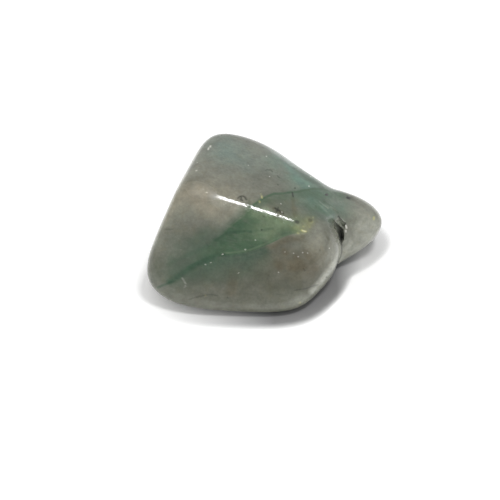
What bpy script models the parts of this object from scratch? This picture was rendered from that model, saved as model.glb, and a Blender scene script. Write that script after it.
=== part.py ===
"""A tumbled ajoite quartz, one solid of cloudy polished quartz, in metres with +Z up.

The stone is a broken crystal that was tumbled round. Its main body and a low tail on its right each keep a
few worn faces, rounded into each other. The two bodies meet in a crease that is tight near the ground and
opens into a wide soft saddle at the top. The main body's right shoulder stands out over the crease, and where
the crease ends, a small pit is open in the front. The stone rests on a flat worn patch, and its origin is the
middle of its box, at the ground. The front looks along -Y.
"""
import math

import bmesh
import bpy
import numpy as np
from mathutils import Matrix, Vector

MM = 0.001
NODE = "stone"

# A worn face is the direction that it looks in, as azimuth (0 the front, 90 the right) and elevation in
# degrees, and its distance from the centre of its body in millimetres.
MAIN_CENTRE = (-3.26, -1.52, 6.38)
MAIN_FACES = {
    "base": (0, -90, 6.5),
    "top": (92, 75, 6.6),
    "front": (0, 31, 6.4),
    "back": (188, 7, 13.4),
    "left back": (254, 19, 9.2),
    "left front": (317, 0, 14.1),
    "right back slope": (117, 43, 9.7),
    "right front": (56, 0, 12.2),
    "right": (94, 9, 12.7),
    "under front": (350, -57, 11.1),
    "under back": (190, -41, 9.7),
    "under left": (272, -49, 11.6),
}
TAIL_CENTRE = (8.24, 0.48, 4.38)
TAIL_FACES = {
    "base": (0, -90, 4.5),
    "top": (94, 77, 4.1),
    "end": (90, 9, 7.6),
    "front": (13, 12, 2.8),
    "back": (172, 20, 5.9),
    "inner": (270, 0, 6.5),
    "under front": (45, -31, 4.5),
    "back corner": (135, 15, 7.2),
}

# The main body's right shoulder is a ball that stands a little out of it, beside the crease.
SHOULDER_CENTRE = (4.85, -4.4, 5.2)
SHOULDER_RADIUS = 4.0
SHOULDER_BLEND = 1.8

# How little the edges between the faces are worn away. A body with a higher value is closer to flat faces.
MAIN_SHARPNESS = 8.0
TAIL_SHARPNESS = 5.0

# How softly the two bodies run into each other, in the crease and in the saddle above it.
CREASE_BLEND = 0.6
SADDLE_BLEND = 3.6
SADDLE_START = 6.38
SADDLE_FULL = 9.88
MAIN_DEPTH = 8.0
TAIL_DEPTH = 5.0

# The sphere that is pushed out to the surface, longer than high so that its triangles come out even.
SPHERE_CENTRE = (1.74, 0.98, 4.88)
SPHERE_STRETCH = (1.3, 1.1, 0.8)
SPHERE_SUBDIVISIONS = 5
FARTHEST = 30.0
HALVINGS = 40

# How near to the ground a point counts as on the flat patch that the stone rests on.
ON_REST = 0.0001

# The crease and the pit get finer triangles, inside a ball about this far from their middle.
FINE_CENTRE = (9.34, -1.92, 4.88)
FINE_RADIUS = 5.0

# The pit: its middle, the direction that it opens in, its mouth's corners (to the right, upwards) and its
# deepest point (to the right, upwards, outwards).
PIT_CENTRE = (9.24, -1.82, 6.18)
PIT_DIRECTION = (25, 16)
PIT_MOUTH = ((-0.75, 1.7), (0.05, 1.8), (0.9, 0.75), (0.6, -1.3), (0.1, -2.15))
PIT_BOTTOM = (-0.3, 0.1, -1.9)
PIT_REACH = 1.5
PIT_WELD = 0.03 * MM

STONE_COLOUR = (0.17, 0.19, 0.15)
STONE_ROUGHNESS = 0.12
STONE_IOR = 1.544


def facing(azimuth, elevation):
    """Unit vector of a direction given by azimuth and elevation."""
    a, e = math.radians(azimuth), math.radians(elevation)
    return np.array((math.sin(a) * math.cos(e), -math.cos(a) * math.cos(e), math.sin(e)))


def worn_body(points, centre, faces, sharpness, depth):
    """Below zero inside a body of worn faces, zero on its surface, and growing by about a unit a millimetre."""
    away = points - np.array(centre)
    total = np.zeros(len(points))
    for azimuth, elevation, distance in faces.values():
        total += np.maximum(away @ facing(azimuth, elevation) / distance, 0) ** sharpness
    return (total ** (1 / sharpness) - 1) * depth


def smooth_union(first, second, blend):
    """Union of two bodies, run into each other over a width of about the blend."""
    share = np.clip(0.5 + 0.5 * (second - first) / blend, 0, 1)
    return second * (1 - share) + first * share - blend * share * (1 - share)


def stone_value(points):
    """Below zero inside the whole stone and zero on its surface."""
    main = worn_body(points, MAIN_CENTRE, MAIN_FACES, MAIN_SHARPNESS, MAIN_DEPTH)
    shoulder = np.linalg.norm(points - np.array(SHOULDER_CENTRE), axis=1) - SHOULDER_RADIUS
    main = smooth_union(main, shoulder, SHOULDER_BLEND)
    tail = worn_body(points, TAIL_CENTRE, TAIL_FACES, TAIL_SHARPNESS, TAIL_DEPTH)
    rise = np.clip((points[:, 2] - SADDLE_START) / (SADDLE_FULL - SADDLE_START), 0, 1)
    softness = rise ** 2 * (3 - 2 * rise)
    whole = smooth_union(main, tail, CREASE_BLEND + (SADDLE_BLEND - CREASE_BLEND) * softness)
    return np.maximum(whole, -points[:, 2])


def surface_points(directions):
    """Where rays from the middle of the stone leave it, found by halving the range of each ray."""
    centre = np.array(SPHERE_CENTRE)
    near = np.zeros(len(directions))
    far = np.full(len(directions), FARTHEST)
    for _ in range(HALVINGS):
        middle = (near + far) / 2
        inside = stone_value(centre + directions * middle[:, None]) < 0
        near = np.where(inside, middle, near)
        far = np.where(inside, far, middle)
    return centre + directions * near[:, None]


def push_out(shape):
    """Moves each point of a shape to the stone's surface, straight away from the sphere's centre."""
    centre = np.array(SPHERE_CENTRE)
    directions = np.array([vertex.co for vertex in shape.verts]) - centre
    directions /= np.linalg.norm(directions, axis=1)[:, None]
    for vertex, place in zip(shape.verts, surface_points(directions)):
        vertex.co = place
        if abs(vertex.co.z) < ON_REST:
            vertex.co.z = 0


def refine_crease(shape):
    """Halves the edges near the crease and the pit."""
    middle = Vector(FINE_CENTRE)
    near = [edge for edge in shape.edges
            if all((vertex.co - middle).length < FINE_RADIUS for vertex in edge.verts)]
    bmesh.ops.subdivide_edges(shape, edges=near, cuts=1, use_grid_fill=True)
    bmesh.ops.triangulate(shape, faces=shape.faces[:])


def stone_shape():
    """The tumbled stone without its pit, in millimetres."""
    shape = bmesh.new()
    bmesh.ops.create_icosphere(shape, subdivisions=SPHERE_SUBDIVISIONS, radius=1)
    bmesh.ops.scale(shape, verts=shape.verts[:], vec=SPHERE_STRETCH)
    bmesh.ops.translate(shape, verts=shape.verts[:], vec=SPHERE_CENTRE)
    push_out(shape)
    refine_crease(shape)
    push_out(shape)
    return shape


def pit_shape():
    """The pit as a solid: its mouth pushed out through the surface, narrowing to its deepest point."""
    outward = Vector(facing(*PIT_DIRECTION))
    across = Vector((0, 0, 1)).cross(outward).normalized()
    frame = Matrix((across, outward.cross(across), outward)).transposed()
    corners = [(right, up, out) for right, up in PIT_MOUTH for out in (0, PIT_REACH)] + [PIT_BOTTOM]
    shape = bmesh.new()
    for corner in corners:
        shape.verts.new(Vector(PIT_CENTRE) + frame @ Vector(corner))
    hull = bmesh.ops.convex_hull(shape, input=shape.verts[:])
    bmesh.ops.delete(shape, geom=hull["geom_unused"] + hull["geom_interior"], context="VERTS")
    bmesh.ops.recalc_face_normals(shape, faces=shape.faces[:])
    return shape


def collection(name):
    """A new collection in the scene."""
    group = bpy.data.collections.new(name)
    bpy.context.scene.collection.children.link(group)
    return group


def add_object(name, shape, origin, group):
    """An object of a shape in millimetres, moved so that the given point comes to the origin."""
    bmesh.ops.translate(shape, verts=shape.verts[:], vec=-origin)
    bmesh.ops.scale(shape, verts=shape.verts[:], vec=(MM, MM, MM))
    mesh = bpy.data.meshes.new(name)
    shape.to_mesh(mesh)
    shape.free()
    piece = bpy.data.objects.new(name, mesh)
    group.objects.link(piece)
    return piece


def middle_of_base(shape):
    """The middle of a shape's box, at its lowest height."""
    places = np.array([vertex.co for vertex in shape.verts])
    low, high = places.min(axis=0), places.max(axis=0)
    return Vector(((low[0] + high[0]) / 2, (low[1] + high[1]) / 2, low[2]))


def quartz():
    """Polished cloudy quartz, grey with a little green."""
    material = bpy.data.materials.new("quartz")
    material.use_nodes = True
    surface = material.node_tree.nodes["Principled BSDF"]
    surface.inputs["Base Color"].default_value = (*STONE_COLOUR, 1)
    surface.inputs["Roughness"].default_value = STONE_ROUGHNESS
    surface.inputs["Metallic"].default_value = 0
    surface.inputs["IOR"].default_value = STONE_IOR
    return material


def cut_out(piece, cutter):
    """Cuts one object out of another with a Boolean that stays on it."""
    cutter.hide_render = True
    cutter.display_type = "WIRE"
    cut = piece.modifiers.new("pit", "BOOLEAN")
    cut.operation = "DIFFERENCE"
    cut.solver = "EXACT"
    cut.object = cutter
    weld = piece.modifiers.new("close the cut's slivers", "WELD")
    weld.merge_threshold = PIT_WELD


def clear_scene():
    """Removes the objects that a new file starts with."""
    for item in list(bpy.data.objects):
        bpy.data.objects.remove(item, do_unlink=True)


def main():
    clear_scene()
    parts = collection("ajoite_quartz")
    cutters = collection("cutters")
    shape = stone_shape()
    origin = middle_of_base(shape)
    stone = add_object(NODE, shape, origin, parts)
    stone.data.materials.append(quartz())
    stone.data.shade_smooth()
    pit = add_object("pit_cutter", pit_shape(), origin, cutters)
    cut_out(stone, pit)


main()
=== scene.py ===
"""The looks of a tumbled ajoite quartz: its fine surface, its open pit and the colours inside it.

Lengths are in millimetres until a mesh is finished, and then in metres. The front looks along -Y.
"""
import itertools
import math

import bmesh
import bpy
import numpy as np
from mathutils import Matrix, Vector

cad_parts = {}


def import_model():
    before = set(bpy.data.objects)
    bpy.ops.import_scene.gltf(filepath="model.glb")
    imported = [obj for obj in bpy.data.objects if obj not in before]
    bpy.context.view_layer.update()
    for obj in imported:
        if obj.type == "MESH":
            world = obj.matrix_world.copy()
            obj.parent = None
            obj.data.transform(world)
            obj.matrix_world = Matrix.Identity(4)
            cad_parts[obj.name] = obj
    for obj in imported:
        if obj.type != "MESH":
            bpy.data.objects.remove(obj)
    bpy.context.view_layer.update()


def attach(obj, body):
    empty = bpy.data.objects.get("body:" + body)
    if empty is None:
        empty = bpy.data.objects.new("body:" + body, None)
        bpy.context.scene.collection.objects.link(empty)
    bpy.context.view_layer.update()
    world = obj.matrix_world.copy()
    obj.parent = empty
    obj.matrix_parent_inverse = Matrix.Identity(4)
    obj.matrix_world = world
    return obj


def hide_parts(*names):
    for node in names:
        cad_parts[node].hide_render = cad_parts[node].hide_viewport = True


MM = 0.001

# The photograph's view: 500 pixels square, from the front and above. The width of the camera's sensor only
# sets the unit of its lens.
PICTURE = 500
PIXELS_PER_MM = 7.87
VIEW_ELEVATION = 40
VIEW_DISTANCE = 200.0
VIEW_CENTRE = (-2.04, -3.22, 4.04)
SENSOR = 36.0
NEAREST_SEEN = 0.01

# A worn face is the direction that it looks in, as azimuth (0 the front, 90 the right) and elevation in
# degrees, and its distance from the centre of its body. These are the solid's own faces.
MAIN_CENTRE = (-3.26, -1.52, 6.38)
MAIN_FACES = {
    "base": (0, -90, 6.5),
    "top": (92, 75, 6.6),
    "front": (0, 31, 6.4),
    "back": (188, 7, 13.4),
    "left back": (254, 19, 9.2),
    "left front": (317, 0, 14.1),
    "right back slope": (117, 43, 9.7),
    "right front": (56, 0, 12.2),
    "right": (94, 9, 12.7),
    "under front": (350, -57, 11.1),
    "under back": (190, -41, 9.7),
    "under left": (272, -49, 11.6),
}
TAIL_CENTRE = (8.24, 0.48, 4.38)
TAIL_FACES = {
    "base": (0, -90, 4.5),
    "top": (94, 77, 4.1),
    "end": (90, 9, 7.6),
    "front": (13, 12, 2.8),
    "back": (172, 20, 5.9),
    "inner": (270, 0, 6.5),
    "under front": (45, -31, 4.5),
    "back corner": (135, 15, 7.2),
}

# The main body's right shoulder is a ball that stands a little out of it, beside the crease.
SHOULDER_CENTRE = (4.85, -4.4, 5.2)
SHOULDER_RADIUS = 4.0
SHOULDER_BLEND = 1.8

# How little the edges between the faces are worn away, how fast each body's value grows, and how softly the
# two bodies run into each other in the crease and in the saddle above it.
MAIN_SHARPNESS = 8.0
TAIL_SHARPNESS = 5.0
MAIN_DEPTH = 8.0
TAIL_DEPTH = 5.0
CREASE_BLEND = 0.6
SADDLE_BLEND = 3.6
SADDLE_START = 6.38
SADDLE_FULL = 9.88

# The fine surface: a sphere pushed out to the worn faces, with smaller triangles on the side that the
# photograph shows. The surface is searched for up to the farthest distance, by this many halvings.
SPHERE_CENTRE = (1.74, 0.98, 4.88)
SPHERE_STRETCH = (1.3, 1.1, 0.8)
SPHERE_SUBDIVISIONS = 6
FINE_ROUNDS = 2
FINE_FACING = -0.05
FARTHEST = 30.0
HALVINGS = 34

# The pit where the crease ends. Its mouth is a flat face looking this way, drawn out by its reach in
# millimetres. Each hollow has the corners of its mouth, in the photograph's pixels, and its deepest points
# with their depth in millimetres. The walls are black from a little below the black edge. A face of the
# mesh belongs to the pit where it lies this far below the worn surface.
PIT_CENTRE = (9.24, -1.82, 6.18)
PIT_DIRECTION = (25, 16)
PIT_REACH = 4.2
HOLLOWS = {
    "black hollow": (((333.4, 220.6), (338.4, 224.2), (343.2, 228.6), (344.3, 234.0), (343.9, 240.4),
                      (341.3, 245.6), (338.9, 240.8), (336.6, 230.0)),
                     ((340.6, 229.5, 1.1), (341.8, 238.0, 1.3))),
    "grey step": (((334.4, 220.6), (338.3, 216.8), (343.0, 222.2), (345.4, 223.6), (344.2, 229.2)),
                  ((339.4, 221.6, 0.28), (343.4, 226.0, 0.35))),
}
BLACK_EDGE = ((333.4, 220.6), (338.4, 224.2), (343.2, 228.6), (345.4, 230.0))
BLACK_BELOW = 0.3
PIT_BELOW = 0.06

# Broad waves and fine ripples left in the polish, by their size and height in millimetres.
WAVES = ((3.2, 0.03), (1.1, 0.006))
WAVE_SEED = 20

# Noise: the steps between its cells and seeds, and how many sizes of feature it has.
NOISE_STEPS = np.array((127.1, 311.7, 74.7))
NOISE_SEED_STEP = 53.3
NOISE_SPREAD = 43758.5453
NOISE_LEVELS = 3
NOISE_LEVEL_STEP = 0.37

# How far the places of soft and sharp marks drift, in pixels, and the size of the noise that moves them.
WASH_DRIFT = 14.0
MARK_DRIFT = 2.0
DRIFT_SIZE = 2.4
DRIFT_SEEDS = (11, 12)

# A wash falls away by this power of the distance from its middle. Washes are patchy and the veil is
# fibrous: least share, further share, size of the noise and seed. Fibres are noise on the photograph's
# plane, stretched by these pixels along and across them.
WASH_POWER = 1.2
WASH_FALL = 0.7
PATCHES = (0.55, 0.90, 1.3, 13)
FIBRES = (0.60, 0.80, 1.0, 14)
FIBRES_ALONG = (12, 8)
FIBRES_ACROSS = (9, 3)

# The photograph's tints start where the surface turns this far to the viewer, and are full after a width.
# The fine tints stay off the steepest places, where they would smear.
BROAD_TURN = (-0.05, 0.2)
FINE_TURN = (0.0, 0.1)
FINE_TINTS = ("dark", "white", "lime_and_painted_glint")

# The polished ridge and its frosted left end, in the photograph's pixels. Near the ridge the polish has small
# pocks: their size in millimetres, where the noise starts and fills them, how near to the ridge in pixels,
# and how dull they are.
RIDGE = ((212, 197), (292, 220.5))
FROST_MIDDLE = (201, 191)
FROST_SIZE = (15, 8)
FROST_TILT = 18
FROST_ROUGHNESS = 0.5
POCK_SIZE = 0.24
POCK_LEVEL = 0.76
POCK_EDGE = 0.08
POCK_REACH = 4
POCK_SHARE = 0.7
POCK_SEED = 17

# Breaks in the ridge's polish, and dull spots along the edge beside the pit: place in the photograph and
# radius. The softness of a spot's edge is a share of its radius.
SPOT_SOFTNESS = 1.5
FROST_SPOTS = ((249.2, 207.2, 1.2), (277.9, 215.5, 0.9), (243.8, 206.8, 0.8), (231.0, 205.2, 0.6),
               (246.4, 208.8, 0.9), (238.0, 206.0, 0.6), (284.0, 219.2, 0.9), (270.5, 215.6, 0.7),
               (241.0, 204.9, 0.5), (257.5, 211.8, 0.5), (264.0, 211.4, 0.5), (226.0, 203.6, 0.4),
               (329.8, 221.0, 1.7), (331.4, 226.0, 1.7), (333.0, 231.0, 1.7), (335.0, 236.0, 1.6),
               (337.0, 241.0, 1.4))

# Finish of the quartz. Sizes, heights and depths are in millimetres, and a range is where the noise starts
# and is full. Mottling: size, lightest and darkest share. Stains: colour, size, range and share. Polish:
# roughness from its best to its worst, and the size and height of its unevenness. Cloudiness: how much of
# the light spreads inside the stone, and how deep.
MOTTLE = ((1.4, 1.12, 0.88), (0.35, 1.07, 0.93), (0.14, 1.06, 0.94))
MOTTLE_RANGE = (0.3, 0.7)
STAIN = (0.88, 0.79, 0.62)
STAIN_SIZE = 0.9
STAIN_RANGE = (0.5, 0.75)
STAIN_SHARE = (0, 0.35)
POLISH_SIZE = 0.5
POLISH_RANGE = (0.3, 0.8)
POLISH_ROUGHNESS = (0.05, 0.11)
RELIEF_SIZE = 0.35
RELIEF_HEIGHT = 0.006
FINE_DETAIL = 3.0
QUARTZ_IOR = 1.544
CLOUDY_SHARE = 0.6
CLOUDY_DEPTH = 1.0

# The broken quartz of the pit: its darker and lighter colour and the black of its depth, the size and range
# of the patches, and the size and height of the ripples.
BREAK_DARK = (0.140, 0.150, 0.120)
BREAK_LIGHT = (0.290, 0.305, 0.250)
BREAK_BLACK = (0.170, 0.178, 0.155)
WORN_SIZE = 0.3
WORN_RANGE = (0.35, 0.65)
DEEP_SIZE = 0.2
DEEP_RANGE = (0.5, 0.7)
DEEP_SHARE = (0, 0.3)
RIPPLE_SIZE = 0.4
RIPPLE_HEIGHT = 0.06
BREAK_ROUGHNESS = 0.22

# Lights: the brightness of the white room, and each lamp's direction, size in millimetres and power.
SKY = 0.75
LAMPS = (("lamp", (54, 73), 90.0, 0.6), ("fill", (-70, 22), 300.0, 0.35))
LAMP_DISTANCE = 400.0

# The ground: white, a little brightened by a painted glow of its own, and with a painted contact shadow,
# darker within the shadow's reach in millimetres of the stone, by a power and a gain of how much of the sky
# the stone hides. To the far left and the right the painted shadow changes to a smaller share, between these
# places along X.
FLOOR_SIZE = 2000.0
FLOOR_ROUGHNESS = 0.9
FLOOR_WHITE = 0.97
FLOOR_PAINTED_SHADOW = 0.22
FLOOR_PAINTED_GLOW = 0.10
SHADOW_REACH = 2.6
SHADOW_SAMPLES = 12
SHADOW_POWER = 2.4
SHADOW_GAIN = 3.2
SHADOW_LEFT = (-15.0, 1.0)
SHADOW_LEFT_SHARE = 0.0
SHADOW_RIGHT = (9.0, 12.5)
SHADOW_RIGHT_SHARE = 0.45

# The colour sockets of Blender's mix node, by their number.
MIX_FIRST = 6
MIX_SECOND = 7
MIX_RESULT = 2

# Colours of the quartz, as linear red, green and blue. Each is laid over the ones before it. Some also lay
# painted light and shade where marked below: the shade, dark and moss tints painted shade, the pale tint
# painted reflections and light, and the white and lime tints painted glints.
GREY = (0.170, 0.176, 0.140)
TINTS = {
    "shade": (0.080, 0.084, 0.058),
    "sea": (0.138, 0.196, 0.168),
    "warm": (0.275, 0.248, 0.182),
    "brown": (0.096, 0.082, 0.048),
    "teal": (0.075, 0.175, 0.125),
    "pale_and_painted_light": (0.400, 0.410, 0.350),
    "moss": (0.048, 0.083, 0.052),
    "leaf": (0.040, 0.088, 0.043),
    "light_leaf": (0.165, 0.220, 0.128),
    "deep": (0.020, 0.062, 0.030),
    "lime_and_painted_glint": (0.520, 0.500, 0.200),
    "dark": (0.012, 0.016, 0.012),
    "white": (0.950, 0.930, 0.850),
}

# Soft washes: tint, middle, half length and half width, tilt in degrees (rising to the left) and strength.
# Places and sizes are pixels of the photograph. Some washes are painted shade and some
# painted light, as marked.
WASHES = (
    # Painted shade: the lower front darkened, where it faces away from the light.
    ("shade", (258, 276), (88, 24), 4, 0.86),
    ("shade", (268, 181), (24, 10), 10, 0.50),
    ("shade", (193, 231), (20, 9), 0, 0.50),
    ("shade", (286, 204), (26, 7), 12, 0.50),
    ("shade", (312, 219), (14, 9), 0, 0.68),
    # Painted shade beside the pit's mouth, in the crease.
    ("shade", (331, 232), (6, 10), -10, 0.50),
    ("shade", (234, 273), (16, 10), 0, 0.35),
    ("shade", (282, 246), (20, 7), -18, 0.56),
    # Painted shade along the bottom edge, against the light that the ground's painted glow sends up.
    ("shade", (220, 301), (60, 8), 2, 0.40),
    ("shade", (206, 274), (26, 12), -20, 0.42),
    ("shade", (190, 185), (14, 6), 12, 0.36),
    ("sea", (226, 149), (18, 12), 8, 0.66),
    ("sea", (250, 160), (30, 12), 25, 0.35),
    ("warm", (208, 198), (34, 15), 12, 0.62),
    ("warm", (188, 193), (14, 9), 0, 0.45),
    # Painted reflection: a lighter warm band where the left rim reflects the white room.
    ("warm", (170, 207), (5, 18), 12, 0.40),
    ("warm", (320, 254), (9, 11), 0, 0.30),
    ("brown", (290, 260), (26, 11), 4, 0.62),
    ("brown", (300, 272), (30, 11), 6, 0.28),
    ("brown", (312, 244), (9, 9), 0, 0.25),
    ("brown", (278, 211), (9, 5), 10, 0.35),
    ("teal", (288, 163), (22, 10), 45, 0.60),
    ("teal", (308, 182), (16, 9), 35, 0.55),
    ("teal", (320, 204), (22, 12), 30, 0.55),
    ("teal", (344, 208), (9, 8), 30, 0.30),
    ("moss", (330, 198), (14, 6), 25, 0.25),
    ("leaf", (318, 207), (18, 9), 35, 0.30),
    # Painted light: the thin tail made paler, where light shines through it.
    ("pale_and_painted_light", (370, 237), (15, 26), 0, 0.56),
    # Painted light on the shoulder, which faces up to the right.
    ("pale_and_painted_light", (316, 239), (9, 11), 0, 0.24),
    # Painted reflection on the tail's side of the groove.
    ("pale_and_painted_light", (345, 260), (10, 17), 25, 0.75),
    # Painted light along the bottom edge on the right.
    ("pale_and_painted_light", (306, 303), (16, 5), -12, 0.30),
    # Painted shade: the lower left edge darkened against its bright rim.
    ("shade", (152, 266), (7, 22), -8, 0.62),
    ("moss", (196, 263), (34, 15), -30, 0.85),
    ("moss", (226, 269), (28, 11), -5, 0.66),
    ("moss", (252, 260), (20, 7), -8, 0.45),
    ("moss", (192, 244), (20, 10), -25, 0.66),
    ("leaf", (276, 203), (22, 8), -4, 0.32),
    ("light_leaf", (282, 225), (20, 8), -12, 0.85),
    ("light_leaf", (258, 216), (14, 6), 12, 0.60),
    ("light_leaf", (262, 232), (16, 8), -10, 0.28),
    ("leaf", (320, 193), (20, 5), 4, 0.55),
    ("teal", (318, 191), (16, 4), 4, 0.55),
    ("leaf", (314, 191), (13, 3), 4, 0.35),
    ("lime_and_painted_glint", (300, 229), (7, 4), -10, 0.16),
    ("lime_and_painted_glint", (309, 222), (6, 5), 0, 0.14),
)

# The veil of ajoite: a green sheet inside the stone. Its lower edge is sharp and its upper edge soft, by
# these widths. It fades in from a place over a width at its left, and fades out up to a place over a width
# at its right. Above it, up to a place on the right, a green haze fades over a height, at a strength.
VEIL_LOW = ((148, 295), (156, 289), (170, 282), (185, 272), (194, 267), (207, 260.5), (215, 257), (231, 255),
            (250, 251.5), (264, 246), (276, 240.5), (293, 234), (306, 232))
VEIL_HIGH = ((148, 285), (175, 268), (207, 246), (214, 239), (221, 235), (228, 227.5), (238, 219),
             (244, 215), (249, 208), (262, 212), (285, 221), (306, 228))
VEIL_FOLD = ((216, 240), (223, 235.4), (230, 232.5), (240.5, 231.4), (251, 231.8))
VEIL_LOW_EDGE = 1.4
VEIL_HIGH_EDGE = 6
VEIL_START = (184, 40)
VEIL_END = (308, 16)
HAZE_END = 250
HAZE_HEIGHT = 15
HAZE_STRENGTH = 0.55
UPPER_LINE = ((249, 208.2), (258, 202), (266.5, 196.3), (273.5, 193.5), (283.3, 193.5), (291.8, 192.1),
              (300.2, 191), (308.6, 189.3), (314.2, 188.2), (323.3, 188.6), (340, 193))
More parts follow.
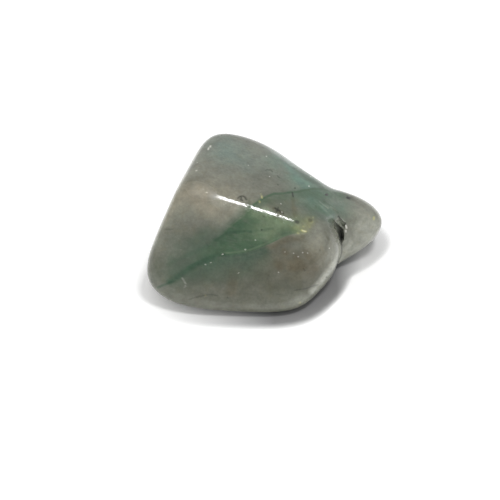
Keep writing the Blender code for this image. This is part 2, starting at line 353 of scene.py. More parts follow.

# Fine marks: tint, strength, half width, softness of the edge, and the points of the line in the photograph's
# pixels. A mark of one point is a spot. Some marks are painted shade, painted reflections and painted glints,
# as marked.
MARKS = (
    ("leaf", 0.85, 0.4, 1.4, UPPER_LINE),
    ("leaf", 0.45, 0.5, 7.0, [(x, y + 3) for x, y in UPPER_LINE]),
    ("deep", 0.65, 0.3, 1.6, ((158, 288), (165, 284.5), (174, 280.5))),
    ("deep", 0.72, 0.6, 4.5, ((170, 281.5), (179, 276), (188, 269.5), (199, 264), (207, 260.5),
                              (214, 257.5))),
    ("deep", 0.50, 0.5, 2.5, ((188, 268.5), (199, 262.5), (214, 255.8), (224, 254.6))),
    ("moss", 0.80, 1.0, 8.0, ((207, 264), (216, 261), (228, 259), (240, 257), (250, 255.5), (264, 251))),
    ("deep", 0.32, 0.3, 2.0, ((222, 255.8), (231, 256), (240, 254.6), (250, 252.8), (264, 247.6))),
    ("deep", 0.60, 0.4, 1.8, VEIL_FOLD),
    ("deep", 0.30, 0.3, 1.8, ((251, 231.8), (261, 230.4), (272, 228.6))),
    ("sea", 0.22, 1.0, 5.0, [(x, y + 6) for x, y in VEIL_FOLD]),
    ("deep", 0.28, 0.4, 3.5, ((169, 264), (180, 259), (192, 253), (202, 248.5), (210, 244),
                              (216, 239))),
    ("deep", 0.30, 2.0, 6.0, ((238, 226), (230, 234), (222, 240))),
    ("brown", 0.60, 0.5, 4.5, ((266, 248.5), (278, 243.5), (290, 239.5), (302, 237.5))),
    ("light_leaf", 0.24, 0.3, 1.2, ((222, 253.4), (231, 253.2), (240, 251.6), (250, 249.8), (263, 244.5),
                                    (275, 239), (285, 236.2), (293, 232.8))),
    ("sea", 0.60, 1.0, 5.0, ((288, 164), (296.7, 176), (300, 181), (306, 186))),
    ("sea", 0.45, 1.0, 4.5, ((322, 208), (331.8, 215.3))),
    # Painted shade: these three marks darken the rims at the top right and along the tail's top, against
    # their reflection of the room.
    ("shade", 0.70, 0.8, 3.0, ((226, 133.5), (243, 136), (258, 142), (272, 150.5), (283, 158.5))),
    ("moss", 0.60, 0.8, 3.5, ((283, 158.5), (296, 168.5), (309, 178.5), (322, 185.5), (336, 190.5))),
    ("shade", 0.60, 1.0, 4.0, ((338, 192), (352, 197.5), (364, 204.5), (375, 213))),
    ("pale_and_painted_light", 0.26, 0.2, 0.9, ((319.8, 201.2), (328.2, 208.2))),
    ("pale_and_painted_light", 0.12, 0.2, 1.2, ((314, 200), (321, 206), (327, 211.5))),
    ("moss", 0.45, 0.4, 1.6, ((316, 206), (323, 212), (328, 216))),
    ("moss", 0.40, 0.3, 1.4, ((325, 201), (333, 208), (338, 213))),
    ("moss", 0.35, 0.4, 2.0, ((306, 206), (316, 213), (324, 219))),
    ("pale_and_painted_light", 0.55, 0.3, 0.9, ((340.4, 218.4), (344.6, 222.0))),
    # Painted shade: the dark line along the step at the pit's upper rim.
    ("dark", 0.75, 0.5, 0.9, ((338.3, 216.8), (341.0, 219.9), (343.0, 222.2), (345.3, 223.6),
                              (345.2, 225.2))),
    ("pale_and_painted_light", 0.28, 0.2, 0.9, ((330.7, 206.8), (336.7, 211))),
    ("sea", 0.50, 1.0, 6.0, ((310.7, 199.1),)),
    # Painted reflection: these two marks are the light band along the front lobe's right edge.
    ("pale_and_painted_light", 0.50, 0.3, 3.5, ((340.5, 248), (337, 258), (334, 265))),
    ("pale_and_painted_light", 0.80, 0.5, 5.5, ((334, 265), (328, 273), (321, 283), (313, 291))),
    # Painted reflection: the light rim along the left edge.
    ("pale_and_painted_light", 0.40, 0.5, 3.0, ((198, 149), (190, 163), (182, 180), (171.6, 201.7), (162, 222), (153, 243))),
    # Painted reflection on the tail's side of the groove.
    ("pale_and_painted_light", 0.62, 0.8, 2.5, ((351, 243), (345.5, 250))),
    # Painted glow round the left part of the ridge's highlight.
    ("pale_and_painted_light", 0.22, 1.0, 7.0, ((216, 201), (228, 206), (240, 212))),
    ("brown", 0.70, 0.8, 2.2, ((274, 208.3), (282, 212.8))),
    ("brown", 0.60, 0.5, 2.6, ((292.3, 197), (293, 205), (295.6, 216))),
    ("brown", 0.50, 1.0, 5.0, ((294, 208), (299, 222))),
    ("brown", 0.45, 2.0, 5.5, ((301.7, 264.6), (312.2, 271))),
    ("brown", 0.50, 2.0, 6.0, ((235, 273), (233, 282), (231, 291))),
    ("dark", 0.13, 1.0, 5.0, ((234, 276), (233, 284), (230, 290))),
    ("brown", 0.70, 1.0, 3.5, ((284, 251), (286, 253))),
    ("brown", 0.65, 1.0, 4.5, ((296, 258), (299, 262))),
    ("brown", 0.60, 1.0, 4.5, ((290, 268), (303, 267))),
    ("brown", 0.50, 1.0, 4.5, ((276, 262), (280, 268))),
    ("brown", 0.50, 1.0, 4.0, ((305, 251), (309, 256))),
    ("brown", 0.45, 1.0, 4.0, ((312, 262), (317, 268))),
    ("shade", 0.75, 1.5, 3.5, ((324, 219), (331, 222))),
    ("shade", 0.26, 0.4, 2.4, ((184.9, 182), (196.1, 177.5), (203.2, 176.4), (213.7, 178))),
    ("dark", 0.75, 0.3, 0.9, ((238.0, 198.2), (239.6, 196.6), (242.4, 195.9), (245.0, 197.3),
                              (246.1, 199.8))),
    ("dark", 0.75, 0.3, 0.9, ((241.2, 197.6), (240.2, 199.8), (242.0, 200.2))),
    ("dark", 0.80, 0.4, 1.0, ((275.2, 208.3), (277.7, 209.8), (279.6, 210.4))),
    ("dark", 0.70, 0.2, 0.9, ((278.4, 207.2), (277.8, 210.2), (276.4, 212.0))),
    ("dark", 0.70, 0.2, 0.9, ((279.6, 210.4), (281.2, 212.2), (283.6, 213.4))),
    ("dark", 0.35, 0.2, 1.0, ((266.5, 208.6),)),
    ("dark", 0.85, 0.3, 1.0, ((292.5, 192.5), (293, 196.5))),
    ("dark", 0.68, 0.9, 1.5, ((296.4, 221.6), (297.6, 222.2))),
    ("dark", 0.45, 0.9, 1.6, ((309.6, 220.2), (311, 220.6))),
    ("dark", 0.75, 0.4, 0.9, ((294.9, 187.9),)),
    ("dark", 1.00, 0.5, 1.1, ((326.1, 194.1), (327.0, 194.3))),
    ("dark", 1.00, 0.6, 1.2, ((347.2, 197.5), (349.2, 198.1))),
    ("dark", 0.70, 0.4, 0.9, ((380.9, 226), (380.7, 227))),
    ("dark", 0.80, 0.4, 1.0, ((261.4, 230),)),
    ("dark", 0.40, 0.4, 0.9, ((263, 216.7), (264, 217.4))),
    ("dark", 0.30, 0.4, 0.9, ((320.3, 250.3),)),
    ("shade", 0.65, 0.5, 1.3, ((325.5, 233), (329, 240))),
    # Painted shade: the rim beside the pit darkened against its reflection.
    ("shade", 0.40, 0.8, 2.4, ((331.2, 219.8), (333.9, 230), (337.2, 238.3), (339.2, 245))),
    ("dark", 0.45, 0.2, 0.8, ((303.4, 268.6), (304.8, 270.6))),
    ("dark", 0.50, 0.3, 0.8, ((326.2, 277.3),)),
    ("dark", 0.55, 0.3, 0.8, ((187.7, 305.5),)),
    ("dark", 0.50, 0.3, 0.8, ((227, 297.8),)),
    ("dark", 0.50, 0.2, 0.8, ((266.5, 170.6), (268.0, 169.8), (269.3, 170.4), (270.8, 170.0),
                              (272.8, 171.8))),
    ("dark", 0.50, 0.2, 0.8, ((277.4, 175.7), (279.4, 177.7))),
    ("dark", 0.45, 0.3, 0.8, ((277.7, 184.4), (278.6, 184.8))),
    ("dark", 0.28, 0.2, 0.9, ((164.6, 229.4), (169, 229.9), (173.7, 229.4))),
    ("dark", 0.45, 0.2, 0.8, ((151.2, 279.6), (152.3, 283.8))),
    ("dark", 0.40, 0.2, 0.8, ((165.4, 233.4),)),
    ("dark", 0.42, 0.1, 0.9, ((188.4, 300.3), (191.9, 298.5), (199.6, 296.4), (210.2, 294.3),
                              (217.2, 295.7))),
    ("dark", 0.36, 0.1, 0.9, ((294.6, 290.3), (305, 288.4), (317.8, 285))),
    ("dark", 0.16, 0.1, 0.9, ((277, 294), (288, 296))),
    # Painted shade: these two marks darken the crease where the front lobe stands before the tail.
    ("shade", 0.85, 0.5, 1.8, ((341.2, 245), (341.5, 249), (341.0, 254), (338.5, 261))),
    ("dark", 0.50, 0.1, 0.9, ((341.8, 245), (341.8, 251), (340.4, 257), (336.4, 266))),
    ("lime_and_painted_glint", 0.65, 0.2, 1.2, ((261.6, 195.8), (262.1, 197.6))),
    ("lime_and_painted_glint", 0.45, 0.2, 1.2, ((259.4, 201.2), (259.8, 202.4))),
    ("lime_and_painted_glint", 0.25, 0.2, 1.2, ((260.9, 193.5),)),
    # Painted glint below the end of the ridge, with a white core in the next mark.
    ("lime_and_painted_glint", 0.75, 0.3, 1.0, ((301.6, 230.2), (303.6, 231.0), (305.6, 231.2))),
    ("white", 0.35, 0.1, 0.7, ((302.4, 230.4), (305.2, 231.2))),
    ("lime_and_painted_glint", 0.35, 0.2, 1.2, ((303, 226.5),)),
    ("lime_and_painted_glint", 0.22, 0.2, 1.2, ((313.2, 217.6),)),
    ("lime_and_painted_glint", 0.20, 0.2, 1.2, ((312.6, 221.4), (311.8, 222.2))),
    ("lime_and_painted_glint", 0.18, 0.2, 1.2, ((309.6, 227.2),)),
    ("lime_and_painted_glint", 0.28, 0.2, 1.2, ((297.4, 233.0), (298.5, 233.2))),
    ("lime_and_painted_glint", 0.25, 0.3, 1.2, ((205.3, 295.6),)),
    ("lime_and_painted_glint", 0.25, 0.3, 1.2, ((300.3, 303.2),)),
    # Painted highlight: the glint on the tail's right end.
    ("lime_and_painted_glint", 0.55, 0.4, 1.2, ((374.2, 217.0), (374, 218.8))),
    ("white", 0.55, 0.1, 0.8, ((207.4, 149), (210.2, 145.5))),
    # Painted glints on the pit's right rim.
    ("white", 0.80, 0.2, 0.9, ((345.6, 225.7), (346.4, 228.3))),
    ("white", 0.75, 0.1, 0.8, ((345.4, 230.8), (345.6, 232.4))),
    ("white", 0.15, 0.1, 0.8, ((181.8, 278.2), (184.6, 281), (185.6, 285.2), (184.9, 287.3))),
    ("white", 0.25, 0.3, 0.9, ((335.2, 221), (336.4, 222.2))),
)

# Small white chips and specks, some of them painted glints on tiny nicks: their place in the photograph and
# how bright they are. Their size is the radius and the softness of the edge, in pixels.
CHIPS_AND_PAINTED_GLINTS = (
    (197.5, 162.7, 0.5), (196.1, 170.5, 0.6), (202.8, 189.4, 0.6), (207.0, 192.4, 0.5), (309.0, 186.1, 0.7),
    (310.7, 176.7, 0.5), (281.9, 212.1, 0.6), (280.9, 203.7, 0.5), (269.6, 176.5, 0.5), (266.5, 156.3, 0.5),
    (248.4, 165.4, 0.3), (180.6, 250.4, 0.6), (222.5, 254.4, 1.0), (245.3, 249.5, 0.7), (210.5, 262.7, 0.5),
    (205.6, 264.5, 0.4), (255.4, 240.1, 0.5), (293.6, 253.3, 0.4), (298.2, 256.6, 0.5), (302.7, 252.6, 0.5),
    (307.6, 253.0, 0.4), (285.0, 251.9, 0.3), (238.5, 273.1, 0.4), (278.5, 272.4, 0.4), (329.4, 248.2, 0.5),
    (173.5, 290.1, 0.3),
)
SPECK_SIZE = (0.1, 0.75)

# Where the stone is seen from behind, the same tints lie in clouds and along the plane of the veil, which
# goes on through the stone. A cloud has a tint, a size in millimetres, the level of noise where it starts,
# its strength and a seed.
VEIL_PLANE = ((-15.1, -9.7, 4.0), (-2.04, -7.94, 7.75), (7.2, 3.7, 8.5))
CLOUDS = (
    ("shade", 7.0, 0.42, 0.75, 1),
    ("sea", 9.0, 0.50, 0.80, 2),
    ("warm", 8.0, 0.55, 0.60, 3),
    ("teal", 6.0, 0.60, 0.60, 4),
    ("pale_and_painted_light", 5.0, 0.62, 0.50, 5),
    ("brown", 3.0, 0.68, 0.40, 6),
    ("dark", 0.9, 0.86, 0.60, 7),
)
CLOUD_EDGE = 0.2

# The veil's plane is bent by a height, and the veil is deep above it in places: depth, least share of it,
# size of the noise and seed. Then the width of its sharp edge, where it starts to thin, and its strength, and
# the width and strength of the dark line along it and of the shade under it.
VEIL_WARP = 1.6
WARP_SIZE = 4.5
WARP_SEED = 15
VEIL_DEPTH = 3.0
DEPTH_LEAST = 0.3
DEPTH_SIZE = 6.0
DEPTH_SEED = 16
SHEET_EDGE = 0.25
SHEET_FULL = 1.2
SHEET_STRENGTH = 0.9
SHEET_LINE = (0.5, 0.6)
SHEET_SHADE = (1.5, 0.35)


def facing(azimuth, elevation):
    """Unit vector of a direction given by azimuth and elevation."""
    a, e = math.radians(azimuth), math.radians(elevation)
    return np.array((math.sin(a) * math.cos(e), -math.cos(a) * math.cos(e), math.sin(e)))


TO_VIEWER = facing(0, VIEW_ELEVATION)
VIEW_RIGHT = np.array((1.0, 0.0, 0.0))
VIEW_UP = np.cross(TO_VIEWER, VIEW_RIGHT)
EYE = np.array(VIEW_CENTRE) + TO_VIEWER * VIEW_DISTANCE


def photo_places(points):
    """Where points fall in the photograph, in its pixels."""
    away = points - EYE
    scale = PIXELS_PER_MM * VIEW_DISTANCE / -(away @ TO_VIEWER)
    return PICTURE / 2 + (away @ VIEW_RIGHT) * scale, PICTURE / 2 - (away @ VIEW_UP) * scale


def worn_body(points, centre, faces, sharpness, depth):
    """Below zero inside a body of worn faces, and above zero outside by about a unit a millimetre."""
    away = points - np.array(centre)
    total = np.zeros(len(points))
    for azimuth, elevation, distance in faces.values():
        total += np.maximum(away @ facing(azimuth, elevation) / distance, 0) ** sharpness
    return (total ** (1 / sharpness) - 1) * depth


def smooth_union(first, second, blend):
    """Union of two bodies, run into each other over a width of about the blend."""
    share = np.clip(0.5 + 0.5 * (second - first) / blend, 0, 1)
    return second * (1 - share) + first * share - blend * share * (1 - share)


def stone_value(points):
    """Below zero inside the whole stone and zero on its surface."""
    main = worn_body(points, MAIN_CENTRE, MAIN_FACES, MAIN_SHARPNESS, MAIN_DEPTH)
    shoulder = np.linalg.norm(points - np.array(SHOULDER_CENTRE), axis=1) - SHOULDER_RADIUS
    main = smooth_union(main, shoulder, SHOULDER_BLEND)
    tail = worn_body(points, TAIL_CENTRE, TAIL_FACES, TAIL_SHARPNESS, TAIL_DEPTH)
    softness = smooth((points[:, 2] - SADDLE_START) / (SADDLE_FULL - SADDLE_START))
    whole = smooth_union(main, tail, CREASE_BLEND + (SADDLE_BLEND - CREASE_BLEND) * softness)
    return np.maximum(whole, -points[:, 2])


def surface_points(directions):
    """Where rays from the middle of the stone leave it, found by halving the range of each ray."""
    centre = np.array(SPHERE_CENTRE)
    near = np.zeros(len(directions))
    far = np.full(len(directions), FARTHEST)
    for _ in range(HALVINGS):
        middle = (near + far) / 2
        inside = stone_value(centre + directions * middle[:, None]) < 0
        near = np.where(inside, middle, near)
        far = np.where(inside, far, middle)
    return centre + directions * near[:, None]


def push_out(shape):
    """Moves each point of a shape to the stone's surface, straight away from the sphere's centre."""
    directions = np.array([vertex.co for vertex in shape.verts]) - np.array(SPHERE_CENTRE)
    directions /= np.linalg.norm(directions, axis=1)[:, None]
    for vertex, place in zip(shape.verts, surface_points(directions)):
        vertex.co = place


def stone_shape():
    """The stone's surface without its pit."""
    shape = bmesh.new()
    bmesh.ops.create_icosphere(shape, subdivisions=SPHERE_SUBDIVISIONS, radius=1)
    bmesh.ops.scale(shape, verts=shape.verts[:], vec=SPHERE_STRETCH)
    bmesh.ops.translate(shape, verts=shape.verts[:], vec=SPHERE_CENTRE)
    push_out(shape)
    viewer = Vector(TO_VIEWER)
    for _ in range(FINE_ROUNDS):
        shape.normal_update()
        seen = [edge for edge in shape.edges
                if all(face.normal.dot(viewer) > FINE_FACING for face in edge.link_faces)]
        bmesh.ops.subdivide_edges(shape, edges=seen, cuts=1, use_grid_fill=True)
        bmesh.ops.triangulate(shape, faces=shape.faces[:])
        push_out(shape)
    return shape


def pit_place(x, y, depth):
    """The point at a depth below the pit's mouth that the photograph shows at a pixel."""
    scale = PIXELS_PER_MM * VIEW_DISTANCE
    ray = VIEW_RIGHT * (x - PICTURE / 2) / scale - VIEW_UP * (y - PICTURE / 2) / scale - TO_VIEWER
    outward = facing(*PIT_DIRECTION)
    middle = np.array(PIT_CENTRE) - outward * depth
    return EYE + ray * ((middle - EYE) @ outward) / (ray @ outward)


def hollow_shape(mouth, bottom):
    """A hollow as a solid: its mouth drawn out towards the viewer, narrowing to its deepest points."""
    shape = bmesh.new()
    for x, y in mouth:
        for out in (0, PIT_REACH):
            shape.verts.new(pit_place(x, y, 0) + TO_VIEWER * out)
    for x, y, depth in bottom:
        shape.verts.new(pit_place(x, y, depth))
    hull = bmesh.ops.convex_hull(shape, input=shape.verts[:])
    left_over = list(dict.fromkeys(hull["geom_unused"] + hull["geom_interior"]))
    bmesh.ops.delete(shape, geom=left_over, context="VERTS")
    bmesh.ops.recalc_face_normals(shape, faces=shape.faces[:])
    return shape


def cut_hollows(stone):
    """Cuts the pit's hollows out of the stone's mesh for good."""
    cutters = [add_object(name.replace(" ", "_"), hollow_shape(*parts)) for name, parts in HOLLOWS.items()]
    for cutter in cutters:
        cut = stone.modifiers.new(cutter.name, "BOOLEAN")
        cut.operation = "DIFFERENCE"
        cut.solver = "EXACT"
        cut.object = cutter
    whole = stone.evaluated_get(bpy.context.evaluated_depsgraph_get())
    mesh = bpy.data.meshes.new_from_object(whole)
    stone.modifiers.clear()
    stone.data = mesh
    for cutter in cutters:
        bpy.data.objects.remove(cutter)


def smooth(amount):
    """An amount from 0 to 1 with a soft start and end."""
    amount = np.clip(amount, 0, 1)
    return amount ** 2 * (3 - 2 * amount)


def cloud(points, size, seed):
    """Repeatable soft noise from 0 to 1, its features about the given size."""
    cells = np.floor(points / size)
    part = smooth(points / size - cells)
    total = np.zeros(len(points))
    for corner in itertools.product((0, 1), repeat=3):
        value = np.sin((cells + corner) @ NOISE_STEPS + seed * NOISE_SEED_STEP) * NOISE_SPREAD
        total += (value - np.floor(value)) * np.prod(np.where(corner, part, 1 - part), axis=1)
    return total


def clouds(points, size, seed):
    """Noise with several sizes of feature, each half as wide and strong as the one before it."""
    shares = [0.5 ** level for level in range(NOISE_LEVELS)]
    layers = [cloud(points, size * share, seed + level * NOISE_LEVEL_STEP) * share
              for level, share in enumerate(shares)]
    return sum(layers) / sum(shares)


def uneven(points, least, further, size, seed):
    """A share that varies softly over the stone."""
    return least + further * clouds(points, size, seed)


def soft_edge(distance, width):
    """From 0 to 1 across a soft edge of a width."""
    return smooth(distance / width + 0.5)


def wave_out(shape):
    """Leaves the polish a little uneven."""
    shape.normal_update()
    points = np.array([vertex.co for vertex in shape.verts])
    height = sum((clouds(points, size, WAVE_SEED + size) - 0.5) * tall for size, tall in WAVES)
    for vertex, rise in zip(shape.verts, height * smooth(points[:, 2])):
        vertex.co += vertex.normal * rise


def line_height(x, line):
    """How far down the photograph a line is at each x."""
    return np.interp(x, [point[0] for point in line], [point[1] for point in line])


def distance_to(x, y, line):
    """How far points of the photograph are from a line or a single point, in pixels."""
    nearest = np.hypot(x - line[0][0], y - line[0][1])
    for (x1, y1), (x2, y2) in zip(line, line[1:]):
        along = ((x - x1) * (x2 - x1) + (y - y1) * (y2 - y1)) / ((x2 - x1) ** 2 + (y2 - y1) ** 2)
        along = np.clip(along, 0, 1)
        nearest = np.minimum(nearest, np.hypot(x - x1 - along * (x2 - x1), y - y1 - along * (y2 - y1)))
    return nearest


def lay(masks, tint, amount):
    """Lays an amount of a tint over what a mask already has."""
    masks[tint] = 1 - (1 - masks[tint]) * (1 - amount)


def wash_amount(x, y, middle, size, tilt):
    """A soft wash, full in the middle and gone at about twice its half size."""
    turn = math.radians(tilt)
    right, down = x - middle[0], y - middle[1]
    along = (right * math.cos(turn) + down * math.sin(turn)) / size[0]
    aside = (down * math.cos(turn) - right * math.sin(turn)) / size[1]
    return np.exp(-(along ** 2 + aside ** 2) ** WASH_POWER * WASH_FALL)


def lay_washes(masks, points, x, y):
    """Lays the soft washes at places of the photograph."""
    patchy = uneven(points, *PATCHES)
    for tint, middle, size, tilt, strength in WASHES:
        amount = wash_amount(x, y, middle, size, tilt) * strength * patchy
        lay(masks, tint, np.clip(amount, 0, 1))


def lay_veil(masks, x, y, fibres):
    """Lays the veil and the green haze above it at places of the photograph."""
    above_low = line_height(x, VEIL_LOW) - y
    below_high = y - line_height(x, VEIL_HIGH)
    inside = smooth((x - VEIL_START[0]) / VEIL_START[1]) * smooth((VEIL_END[0] - x) / VEIL_END[1])
    veil = soft_edge(above_low, VEIL_LOW_EDGE) * soft_edge(below_high, VEIL_HIGH_EDGE) * inside
    lay(masks, "leaf", np.clip(veil * fibres, 0, 1))
    haze = smooth(1 + below_high / HAZE_HEIGHT) * (below_high < 0) * (x < HAZE_END) * inside
    lay(masks, "moss", np.clip(haze * fibres * HAZE_STRENGTH, 0, 1))


def lay_marks(masks, x, y, fibres):
    """Lays the fine marks at places of the photograph."""
    for tint, strength, half, soft, line in MARKS:
        amount = smooth(1 - (distance_to(x, y, line) - half) / soft) * strength
        lay(masks, tint, amount if tint in FINE_TINTS else np.clip(amount * fibres, 0, 1))


def lay_chips_and_painted_glints(masks, x, y):
    """Lays the small white chips and painted glints at places of the photograph."""
    radius, soft = SPECK_SIZE
    for speck_x, speck_y, bright in CHIPS_AND_PAINTED_GLINTS:
        amount = smooth(1 - (distance_to(x, y, ((speck_x, speck_y),)) - radius) / soft)
        lay(masks, "white", amount * bright)


def front_masks(points):
    """How much of each tint the photograph shows at points of the stone."""
    masks = {tint: np.zeros(len(points)) for tint in TINTS}
    x, y = photo_places(points)
    drift_x, drift_y = (clouds(points, DRIFT_SIZE, seed) - 0.5 for seed in DRIFT_SEEDS)
    near_x, near_y = x + drift_x * MARK_DRIFT, y + drift_y * MARK_DRIFT
    along = x / FIBRES_ALONG[0] + y / FIBRES_ALONG[1]
    across = y / FIBRES_ACROSS[1] - x / FIBRES_ACROSS[0]
    fibres = uneven(np.column_stack((along, across, np.zeros(len(x)))), *FIBRES)
    lay_washes(masks, points, x + drift_x * WASH_DRIFT, y + drift_y * WASH_DRIFT)
    lay_veil(masks, near_x, near_y, fibres)
    lay_marks(masks, near_x, near_y, fibres)
    lay_chips_and_painted_glints(masks, x, y)
    return masks


def through_masks(points):
    """How much of each tint there is where the photograph doesn't show the stone."""
    masks = {tint: np.zeros(len(points)) for tint in TINTS}
    for tint, size, level, strength, seed in CLOUDS:
        lay(masks, tint, smooth((clouds(points, size, seed) - level) / CLOUD_EDGE) * strength)
    corner, second, third = (np.array(point) for point in VEIL_PLANE)
    upward = np.cross(third - corner, second - corner)
    upward *= np.sign(upward[2]) / np.linalg.norm(upward)
    height = (points - corner) @ upward + (clouds(points, WARP_SIZE, WARP_SEED) - 0.5) * 2 * VEIL_WARP
    depth = VEIL_DEPTH * (DEPTH_LEAST + clouds(points, DEPTH_SIZE, DEPTH_SEED))
    sheet = soft_edge(height, SHEET_EDGE) * smooth(SHEET_FULL - height / depth)
    lay(masks, "leaf", sheet * SHEET_STRENGTH)
    lay(masks, "deep", smooth(1 - np.abs(height) / SHEET_LINE[0]) * SHEET_LINE[1])
    lay(masks, "deep", smooth(1 + height / SHEET_SHADE[0]) * (height < 0) * SHEET_SHADE[1])
    return masks


def frost_amount(points, x, y):
    """How far the polish is dulled at points of the stone and their places in the photograph."""
    frosted = wash_amount(x, y, FROST_MIDDLE, FROST_SIZE, FROST_TILT)
    for spot_x, spot_y, radius in FROST_SPOTS:
        away = distance_to(x, y, ((spot_x, spot_y),)) / radius
        frosted = np.maximum(frosted, smooth(SPOT_SOFTNESS - away / SPOT_SOFTNESS))
    pocked = smooth((cloud(points, POCK_SIZE, POCK_SEED) - POCK_LEVEL) / POCK_EDGE)
    pocked = pocked * smooth(2 - distance_to(x, y, RIDGE) / POCK_REACH)
    return np.maximum(frosted, pocked * POCK_SHARE)


def rows_of(items, name):
    """A value of three numbers of each item of a mesh, as rows."""
    values = np.empty(len(items) * 3)
    items.foreach_get(name, values)
    return values.reshape(-1, 3)


def add_attribute(mesh, name, values):
    """A number for each point of a mesh."""
    mesh.attributes.new(name, "FLOAT", "POINT").data.foreach_set("value", values.astype(np.float32))


def tint_stone(mesh):
    """Works out the tints of each point of the finished mesh, where it is black, and where it is dull."""
    points = rows_of(mesh.vertices, "co") / MM
    facing_viewer = rows_of(mesh.vertex_normals, "vector") @ TO_VIEWER
    broad = smooth((facing_viewer - BROAD_TURN[0]) / BROAD_TURN[1])
    fine = smooth((facing_viewer - FINE_TURN[0]) / FINE_TURN[1])
    front, through = front_masks(points), through_masks(points)
    for tint in TINTS:
        seen = fine if tint in FINE_TINTS else broad
        add_attribute(mesh, tint, front[tint] * seen + through[tint] * (1 - seen))
    x, y = photo_places(points)
    add_attribute(mesh, "black", (y > line_height(x, BLACK_EDGE) + BLACK_BELOW).astype(float))
    add_attribute(mesh, "frost", frost_amount(points, x, y) * fine)


def add_object(name, shape):
    """An object of a shape in millimetres."""
    bmesh.ops.scale(shape, verts=shape.verts[:], vec=(MM, MM, MM))
    mesh = bpy.data.meshes.new(name)
    shape.to_mesh(mesh)
    shape.free()
    piece = bpy.data.objects.new(name, mesh)
    bpy.context.scene.collection.objects.link(piece)
    return piece


def add_camera():
    """The photograph's view."""
    lens = bpy.data.cameras.new("camera")
    lens.sensor_width = SENSOR
    lens.lens = SENSOR * VIEW_DISTANCE * PIXELS_PER_MM / PICTURE
    lens.clip_start = NEAREST_SEEN
    camera = bpy.data.objects.new("camera", lens)
    camera.location = Vector(EYE) * MM
    camera.rotation_euler = (math.radians(90 - VIEW_ELEVATION), 0, 0)
    bpy.context.scene.collection.objects.link(camera)
    bpy.context.scene.camera = camera


def add_lights():
    """A white room, a lamp overhead, and a fill lamp on the left that leaves no highlight."""
    world = bpy.data.worlds.new("room")
    world.use_nodes = True
    world.node_tree.nodes["Background"].inputs["Color"].default_value = (1, 1, 1, 1)
    world.node_tree.nodes["Background"].inputs["Strength"].default_value = SKY
    bpy.context.scene.world = world
    for name, direction, size, power in LAMPS:
        light = bpy.data.lights.new(name, "AREA")
        light.shape = "DISK"
        light.size = size * MM
        light.energy = power
        lamp = bpy.data.objects.new(name, light)
        towards = Vector(facing(*direction))
        lamp.location = towards * LAMP_DISTANCE * MM
        lamp.rotation_euler = towards.to_track_quat("Z", "Y").to_euler()
        lamp.visible_glossy = name == "lamp"
        bpy.context.scene.collection.objects.link(lamp)


def add_floor():
    """A white ground with a painted contact shadow close round the stone and a painted glow elsewhere."""
    shape = bmesh.new()
    bmesh.ops.create_grid(shape, x_segments=1, y_segments=1, size=FLOOR_SIZE / 2)
    floor = add_object("floor", shape)
    material = bpy.data.materials.new("white surface")
    material.use_nodes = True
    tree = material.node_tree
    surface = tree.nodes["Principled BSDF"]
    surface.inputs["Roughness"].default_value = FLOOR_ROUGHNESS
    near = tree.nodes.new("ShaderNodeAmbientOcclusion")
    near.samples = SHADOW_SAMPLES
    near.inputs["Distance"].default_value = SHADOW_REACH * MM
    open_sky = calculate(tree, "POWER", near.outputs["AO"], SHADOW_POWER)
    dark = calculate(tree, "MULTIPLY", calculate(tree, "SUBTRACT", 1.0, open_sky), SHADOW_GAIN)
    place = tree.nodes.new("ShaderNodeTexCoord")
    along = tree.nodes.new("ShaderNodeSeparateXYZ")
    tree.links.new(place.outputs["Object"], along.inputs["Vector"])
    left = spread(tree, along.outputs["X"], [x * MM for x in SHADOW_LEFT], (SHADOW_LEFT_SHARE, 1))
    right = spread(tree, along.outputs["X"], [x * MM for x in SHADOW_RIGHT], (1, SHADOW_RIGHT_SHARE))
    share = calculate(tree, "MULTIPLY", left, right)
    shade = calculate(tree, "MULTIPLY", calculate(tree, "MINIMUM", dark, 1.0), share)
    # Painted shadow: the ground's colour goes from white to the painted shadow's grey close round the stone.
    colour = mix_colours(tree, shade, (FLOOR_WHITE,) * 3, (FLOOR_PAINTED_SHADOW,) * 3)
    tree.links.new(colour, surface.inputs["Base Color"])
    # Painted glow: the ground gives off a little light of its own, less within the painted shadow.
    painted_glow = calculate(tree, "MULTIPLY", calculate(tree, "SUBTRACT", 1.0, shade), FLOOR_PAINTED_GLOW)
    connect(tree, (1.0, 1.0, 1.0), surface.inputs["Emission Color"])
    tree.links.new(painted_glow, surface.inputs["Emission Strength"])
    floor.data.materials.append(material)


def connect(tree, value, socket):
    """Gives a socket a value, a colour or another node's output."""
    if isinstance(value, bpy.types.NodeSocket):
        tree.links.new(value, socket)
    elif isinstance(value, tuple):
        socket.default_value = (*value, 1)
    else:
        socket.default_value = value


def calculate(tree, operation, first, second):
    """A sum, product or the like of two values."""
    node = tree.nodes.new("ShaderNodeMath")
    node.operation = operation
    connect(tree, first, node.inputs[0])
    connect(tree, second, node.inputs[1])
    return node.outputs[0]


def spread(tree, value, source, target):
    """A value taken from one range to another, and kept inside it."""
    node = tree.nodes.new("ShaderNodeMapRange")
    connect(tree, value, node.inputs["Value"])
    for name, bound in zip(("From Min", "From Max", "To Min", "To Max"), (*source, *target)):
        node.inputs[name].default_value = bound
    return node.outputs["Result"]


def mix_colours(tree, share, first, second, blend="MIX"):
    """Two colours mixed by a share."""
    node = tree.nodes.new("ShaderNodeMix")
    node.data_type = "RGBA"
    node.blend_type = blend
    connect(tree, share, node.inputs["Factor"])
    connect(tree, first, node.inputs[MIX_FIRST])
    connect(tree, second, node.inputs[MIX_SECOND])
    return node.outputs[MIX_RESULT]


def attribute(tree, name):
    """A number kept at the points of the mesh."""
    node = tree.nodes.new("ShaderNodeAttribute")
    node.attribute_name = name
    return node.outputs["Fac"]


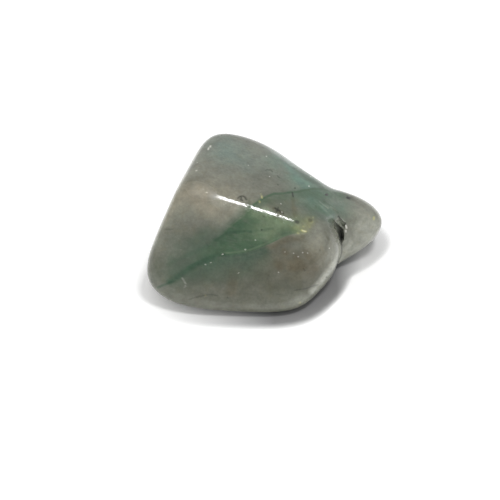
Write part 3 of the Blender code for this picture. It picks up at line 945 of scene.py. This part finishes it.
def noise(tree, size, detail=2.0):
    """Noise in the stone, its features about the given size in millimetres."""
    node = tree.nodes.new("ShaderNodeTexNoise")
    place = tree.nodes.new("ShaderNodeTexCoord")
    tree.links.new(place.outputs["Object"], node.inputs["Vector"])
    node.inputs["Scale"].default_value = 1 / (size * MM)
    node.inputs["Detail"].default_value = detail
    return node.outputs["Fac"]


def bump(tree, height, distance):
    """A normal roughened by a height, whose full range is a distance in millimetres."""
    node = tree.nodes.new("ShaderNodeBump")
    node.inputs["Distance"].default_value = distance * MM
    tree.links.new(height, node.inputs["Height"])
    return node.outputs["Normal"]


def quartz():
    """Polished cloudy quartz with its tints and painted light and shade, mottled finely, and a little uneven
    in its polish.
    """
    material = bpy.data.materials.new("quartz")
    material.use_nodes = True
    tree = material.node_tree
    surface = tree.nodes["Principled BSDF"]
    colour = GREY
    for tint, value in TINTS.items():
        colour = mix_colours(tree, attribute(tree, tint), colour, value)
    for size, light, dark in MOTTLE:
        level = spread(tree, noise(tree, size), MOTTLE_RANGE, (dark, light))
        grey = tree.nodes.new("ShaderNodeCombineColor")
        for channel in grey.inputs:
            tree.links.new(level, channel)
        colour = mix_colours(tree, 1.0, colour, grey.outputs["Color"], "MULTIPLY")
    stained = spread(tree, noise(tree, STAIN_SIZE, FINE_DETAIL), STAIN_RANGE, STAIN_SHARE)
    colour = mix_colours(tree, stained, colour, STAIN, "MULTIPLY")
    tree.links.new(colour, surface.inputs["Base Color"])
    polish = spread(tree, noise(tree, POLISH_SIZE), POLISH_RANGE, POLISH_ROUGHNESS)
    frost = calculate(tree, "MULTIPLY", attribute(tree, "frost"), FROST_ROUGHNESS)
    tree.links.new(calculate(tree, "ADD", polish, frost), surface.inputs["Roughness"])
    relief = bump(tree, noise(tree, RELIEF_SIZE, FINE_DETAIL), RELIEF_HEIGHT)
    tree.links.new(relief, surface.inputs["Normal"])
    surface.inputs["IOR"].default_value = QUARTZ_IOR
    surface.inputs["Subsurface Weight"].default_value = CLOUDY_SHARE
    surface.inputs["Subsurface Radius"].default_value = (1, 1, 1)
    surface.inputs["Subsurface Scale"].default_value = CLOUDY_DEPTH * MM
    return material


def broken_quartz():
    """The walls of the pit: glossy and rippled, black where it is deep."""
    material = bpy.data.materials.new("broken quartz")
    material.use_nodes = True
    tree = material.node_tree
    surface = tree.nodes["Principled BSDF"]
    patches = spread(tree, noise(tree, WORN_SIZE), WORN_RANGE, (0, 1))
    worn = mix_colours(tree, patches, BREAK_DARK, BREAK_LIGHT)
    gleams = spread(tree, noise(tree, DEEP_SIZE), DEEP_RANGE, DEEP_SHARE)
    deep = mix_colours(tree, gleams, BREAK_BLACK, BREAK_DARK)
    colour = mix_colours(tree, attribute(tree, "black"), worn, deep)
    tree.links.new(colour, surface.inputs["Base Color"])
    ripples = bump(tree, noise(tree, RIPPLE_SIZE, FINE_DETAIL), RIPPLE_HEIGHT)
    tree.links.new(ripples, surface.inputs["Normal"])
    surface.inputs["Roughness"].default_value = BREAK_ROUGHNESS
    surface.inputs["IOR"].default_value = QUARTZ_IOR
    return material


def mark_pit(stone):
    """Gives the pit's faces, which lie below the worn surface, flat shading and their own material."""
    below = stone_value(rows_of(stone.data.polygons, "center") / MM) < -PIT_BELOW
    stone.data.polygons.foreach_set("use_smooth", ~below)
    stone.data.polygons.foreach_set("material_index", below.astype(np.int32))


def main():
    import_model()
    bpy.context.scene.view_settings.view_transform = "Standard"
    add_camera()
    add_lights()
    add_floor()
    shape = stone_shape()
    wave_out(shape)
    stone = add_object("stone_surface", shape)
    cut_hollows(stone)
    stone.data.materials.clear()
    stone.data.materials.append(quartz())
    stone.data.materials.append(broken_quartz())
    mark_pit(stone)
    tint_stone(stone.data)
    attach(stone, "root")
    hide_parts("stone")
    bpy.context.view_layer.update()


main()
